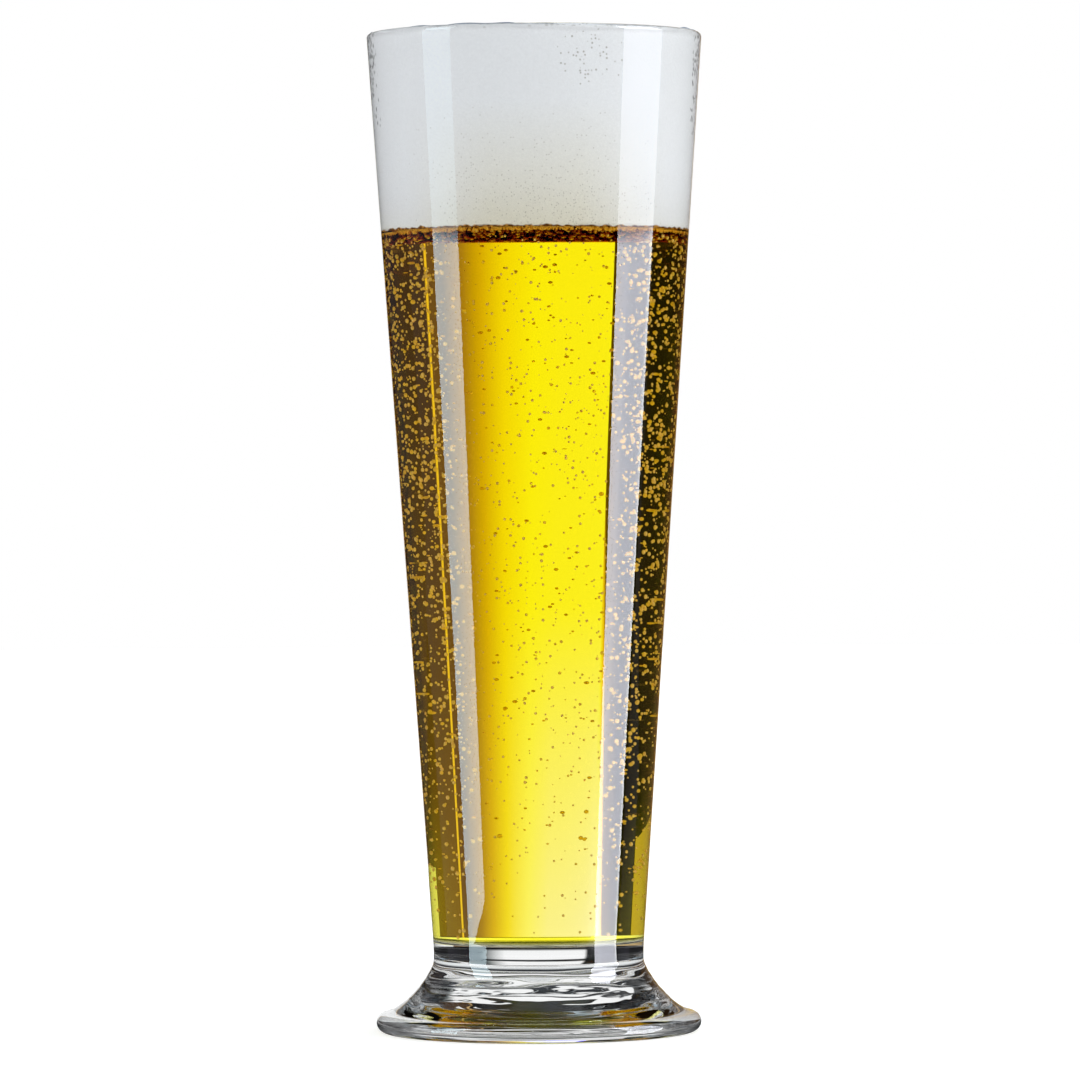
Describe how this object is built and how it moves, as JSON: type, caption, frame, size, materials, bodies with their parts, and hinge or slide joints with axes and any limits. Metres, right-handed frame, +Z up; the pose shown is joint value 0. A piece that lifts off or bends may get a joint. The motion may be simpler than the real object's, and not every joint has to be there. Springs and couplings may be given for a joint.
{
  "type": "pilsner glass",
  "caption": "Tall tapered clear beer glass on a flared solid foot, filled with golden beer under a white head of foam; stands on a table and is drunk from.",
  "frame": {"origin": "centre of the base, on the surface that the glass stands on", "axes": "+Z up along the glass's own axis of revolution; +X and +Y are any two square directions, because the glass is round"},
  "size_m": [0.0704, 0.0704, 0.2115],
  "materials": {
    "clear_glass": "polished",
    "beer": "gloss",
    "bubble_collar": "gloss",
    "foam": "matte"
  },
  "bodies": {
    "root": {"glass_bowl": "clear_glass", "glass_foot": "clear_glass", "beer": "beer", "bubble_collar": "bubble_collar", "foam_head": "foam"}
  },
  "joints": []
}
